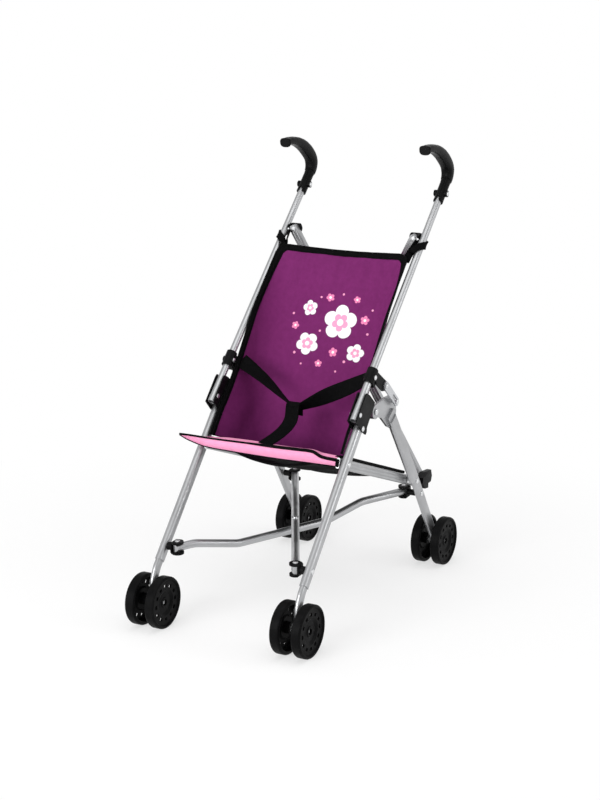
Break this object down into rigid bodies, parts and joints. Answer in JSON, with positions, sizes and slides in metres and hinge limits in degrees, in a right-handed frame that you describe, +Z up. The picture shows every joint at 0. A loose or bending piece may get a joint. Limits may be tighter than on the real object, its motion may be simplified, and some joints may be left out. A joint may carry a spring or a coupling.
{
  "type": "folding doll stroller",
  "caption": "Toy umbrella-fold stroller for dolls: tube side frames, crossed braces, fabric sling seat with harness, hooked grips and twin wheels.",
  "frame": {"origin": "centre of the bounding box on the ground plane the wheels stand on", "axes": "+Z up, +Y towards the rear wheels and the person pushing, +X across the stroller to its left-hand rider's side as seen from the front"},
  "size_m": [0.2456, 0.4425, 0.558],
  "materials": {
    "black_cloth": "plain weave",
    "black_plastic": "fine moulded grain",
    "black_webbing": "ribbed webbing",
    "grip_plastic": "smooth satin",
    "painted_steel": "satin",
    "pink_cloth": "satin weave",
    "purple_cloth": "satin weave",
    "silver_steel": "satin",
    "wheel_plastic": "matt moulded"
  },
  "bodies": {
    "frame_left": {"front_leg_l": "silver_steel", "handle_tube_l": "silver_steel", "grip_l": "grip_plastic", "side_bracket_l": "black_plastic", "handle_collar_l": "black_plastic", "frame_rivets_l": "painted_steel", "front_axle_l": "painted_steel", "strap_loop_l": "black_webbing", "backrest_sling": "purple_cloth", "seat_panel": "black_cloth", "seat_lip": "pink_cloth", "harness_l": "black_webbing", "harness_r": "black_webbing", "crotch_strap": "black_webbing"},
    "frame_right": {"front_leg_r": "silver_steel", "handle_tube_r": "silver_steel", "grip_r": "grip_plastic", "side_bracket_r": "black_plastic", "handle_collar_r": "black_plastic", "frame_rivets_r": "painted_steel", "front_axle_r": "painted_steel", "strap_loop_r": "black_webbing"},
    "rear_leg_l": {"rear_leg_l": "silver_steel", "rear_rivets_l": "painted_steel", "back_clip_l": "black_plastic", "rear_axle_l": "painted_steel"},
    "seat_rail_l": {"seat_rail_l": "silver_steel"},
    "fold_link_l": {"fold_link_l": "painted_steel"},
    "front_knuckle_l": {"front_knuckle_l": "black_plastic", "front_knuckle_pin_l": "painted_steel"},
    "rear_knuckle_l": {"rear_knuckle_l": "black_plastic", "rear_knuckle_pin_l": "painted_steel"},
    "back_knuckle_l": {"back_knuckle_l": "black_plastic", "back_pin_l": "painted_steel"},
    "rear_leg_r": {"rear_leg_r": "silver_steel", "rear_rivets_r": "painted_steel", "back_clip_r": "black_plastic", "rear_axle_r": "painted_steel"},
    "seat_rail_r": {"seat_rail_r": "silver_steel"},
    "fold_link_r": {"fold_link_r": "painted_steel"},
    "front_knuckle_r": {"front_knuckle_r": "black_plastic", "front_knuckle_pin_r": "painted_steel"},
    "rear_knuckle_r": {"rear_knuckle_r": "black_plastic", "rear_knuckle_pin_r": "painted_steel"},
    "back_knuckle_r": {"back_knuckle_r": "black_plastic", "back_pin_r": "painted_steel"},
    "lower_arm_a": {"lower_arm_a": "silver_steel"},
    "lower_arm_b": {"lower_arm_b": "silver_steel", "lower_cross_rivet": "painted_steel"},
    "back_arm_c": {"back_arm_c": "silver_steel"},
    "back_arm_d": {"back_arm_d": "silver_steel", "back_cross_rivet": "painted_steel"},
    "wheel_fl_out": {"wheel_fl_out": "wheel_plastic"},
    "wheel_fl_in": {"wheel_fl_in": "wheel_plastic"},
    "wheel_fr_out": {"wheel_fr_out": "wheel_plastic"},
    "wheel_fr_in": {"wheel_fr_in": "wheel_plastic"},
    "wheel_rl_out": {"wheel_rl_out": "wheel_plastic"},
    "wheel_rl_in": {"wheel_rl_in": "wheel_plastic"},
    "wheel_rr_out": {"wheel_rr_out": "wheel_plastic"},
    "wheel_rr_in": {"wheel_rr_in": "wheel_plastic"}
  },
  "joints": [
    {"name": "fold", "type": "slide", "parent": "frame_left", "child": "frame_right", "axis": [-1, 0, 0], "range_m": [0, 0.136], "deforming": ["backrest_sling", "seat_panel", "seat_lip", "harness_l", "harness_r", "crotch_strap"]},
    {"name": "rear_leg_l_fold", "type": "hinge", "parent": "frame_left", "child": "rear_leg_l", "pos_m": [-0.099, 0.005, 0.247], "axis": [1, 0, 0], "range_deg": [0, 17.42]},
    {"name": "seat_rail_l_fold", "type": "hinge", "parent": "frame_left", "child": "seat_rail_l", "pos_m": [-0.0913, -0.07035, 0.19924], "axis": [1, 0, 0], "range_deg": [0, 12.37]},
    {"name": "fold_link_l_fold", "type": "hinge", "parent": "frame_left", "child": "fold_link_l", "pos_m": [-0.107, 0.021, 0.277], "axis": [1, 0, 0], "range_deg": [0, 15.7]},
    {"name": "front_knuckle_l_tilt", "type": "hinge", "parent": "frame_left", "child": "front_knuckle_l", "pos_m": [-0.081, -0.16201, 0.09342], "axis": [1, 0, 0], "range_deg": [0, 7.33]},
    {"name": "back_knuckle_l_tilt", "type": "hinge", "parent": "frame_left", "child": "back_knuckle_l", "pos_m": [-0.086, 0.14063, 0.44073], "axis": [1, 0, 0], "range_deg": [0, 3.62]},
    {"name": "rear_leg_r_fold", "type": "hinge", "parent": "frame_right", "child": "rear_leg_r", "pos_m": [0.099, 0.005, 0.247], "axis": [1, 0, 0], "range_deg": [0, 17.42]},
    {"name": "seat_rail_r_fold", "type": "hinge", "parent": "frame_right", "child": "seat_rail_r", "pos_m": [0.0913, -0.07035, 0.19924], "axis": [1, 0, 0], "range_deg": [0, 12.37]},
    {"name": "fold_link_r_fold", "type": "hinge", "parent": "frame_right", "child": "fold_link_r", "pos_m": [0.107, 0.021, 0.277], "axis": [1, 0, 0], "range_deg": [0, 15.7]},
    {"name": "front_knuckle_r_tilt", "type": "hinge", "parent": "frame_right", "child": "front_knuckle_r", "pos_m": [0.081, -0.16201, 0.09342], "axis": [1, 0, 0], "range_deg": [0, 7.33]},
    {"name": "back_knuckle_r_tilt", "type": "hinge", "parent": "frame_right", "child": "back_knuckle_r", "pos_m": [0.086, 0.14063, 0.44073], "axis": [1, 0, 0], "range_deg": [0, 3.62]},
    {"name": "lower_arm_a_fold", "type": "hinge", "parent": "front_knuckle_l", "child": "lower_arm_a", "pos_m": [-0.081, -0.16201, 0.09342], "axis": [0, -0.0526, 0.9986], "range_deg": [0, 24.52]},
    {"name": "lower_arm_b_fold", "type": "hinge", "parent": "front_knuckle_r", "child": "lower_arm_b", "pos_m": [0.081, -0.16201, 0.09342], "axis": [0, -0.0526, 0.9986], "range_deg": [-24.52, 0]},
    {"name": "rear_knuckle_r_turn", "type": "hinge", "parent": "lower_arm_a", "child": "rear_knuckle_r", "pos_m": [0.081, 0.1335, 0.109], "axis": [0, -0.0526, 0.9986], "range_deg": [-24.52, 0]},
    {"name": "rear_knuckle_l_turn", "type": "hinge", "parent": "lower_arm_b", "child": "rear_knuckle_l", "pos_m": [-0.081, 0.1335, 0.109], "axis": [0, -0.0526, 0.9986], "range_deg": [0, 24.52]},
    {"name": "back_arm_c_fold", "type": "hinge", "parent": "back_knuckle_l", "child": "back_arm_c", "pos_m": [-0.086, 0.14063, 0.44073], "axis": [0, 0.9958, 0.0915], "range_deg": [0, 22.53]},
    {"name": "back_arm_d_fold", "type": "hinge", "parent": "back_knuckle_r", "child": "back_arm_d", "pos_m": [0.086, 0.14063, 0.44073], "axis": [0, 0.9958, 0.0915], "range_deg": [-22.53, 0]},
    {"name": "wheel_fl_out_spin", "type": "hinge", "parent": "frame_left", "child": "wheel_fl_out", "pos_m": [-0.113, -0.191, 0.032], "axis": [1, 0, 0], "continuous": true},
    {"name": "wheel_fl_in_spin", "type": "hinge", "parent": "frame_left", "child": "wheel_fl_in", "pos_m": [-0.085, -0.191, 0.032], "axis": [1, 0, 0], "continuous": true},
    {"name": "wheel_fr_out_spin", "type": "hinge", "parent": "frame_right", "child": "wheel_fr_out", "pos_m": [0.113, -0.191, 0.032], "axis": [1, 0, 0], "continuous": true},
    {"name": "wheel_fr_in_spin", "type": "hinge", "parent": "frame_right", "child": "wheel_fr_in", "pos_m": [0.085, -0.191, 0.032], "axis": [1, 0, 0], "continuous": true},
    {"name": "wheel_rl_out_spin", "type": "hinge", "parent": "rear_leg_l", "child": "wheel_rl_out", "pos_m": [-0.1165, 0.184, 0.032], "axis": [1, 0, 0], "continuous": true},
    {"name": "wheel_rl_in_spin", "type": "hinge", "parent": "rear_leg_l", "child": "wheel_rl_in", "pos_m": [-0.0885, 0.184, 0.032], "axis": [1, 0, 0], "continuous": true},
    {"name": "wheel_rr_out_spin", "type": "hinge", "parent": "rear_leg_r", "child": "wheel_rr_out", "pos_m": [0.1165, 0.184, 0.032], "axis": [1, 0, 0], "continuous": true},
    {"name": "wheel_rr_in_spin", "type": "hinge", "parent": "rear_leg_r", "child": "wheel_rr_in", "pos_m": [0.0885, 0.184, 0.032], "axis": [1, 0, 0], "continuous": true}
  ],
  "couplings": [
    {"joint": "rear_leg_l_fold", "follows": "fold", "rad_per_m": 2.2334},
    {"joint": "seat_rail_l_fold", "follows": "fold", "rad_per_m": 1.5843},
    {"joint": "fold_link_l_fold", "follows": "fold", "rad_per_m": 2.0119},
    {"joint": "front_knuckle_l_tilt", "follows": "fold", "rad_per_m": 0.93873},
    {"joint": "back_knuckle_l_tilt", "follows": "fold", "rad_per_m": 0.462},
    {"joint": "rear_leg_r_fold", "follows": "fold", "rad_per_m": 2.2334},
    {"joint": "seat_rail_r_fold", "follows": "fold", "rad_per_m": 1.5843},
    {"joint": "fold_link_r_fold", "follows": "fold", "rad_per_m": 2.0119},
    {"joint": "front_knuckle_r_tilt", "follows": "fold", "rad_per_m": 0.93873},
    {"joint": "back_knuckle_r_tilt", "follows": "fold", "rad_per_m": 0.462},
    {"joint": "lower_arm_a_fold", "follows": "fold", "rad_per_m": 3.1439},
    {"joint": "lower_arm_b_fold", "follows": "fold", "rad_per_m": -3.1439},
    {"joint": "rear_knuckle_r_turn", "follows": "fold", "rad_per_m": -3.1439},
    {"joint": "rear_knuckle_l_turn", "follows": "fold", "rad_per_m": 3.1439},
    {"joint": "back_arm_c_fold", "follows": "fold", "rad_per_m": 2.8882},
    {"joint": "back_arm_d_fold", "follows": "fold", "rad_per_m": -2.8882}
  ]
}
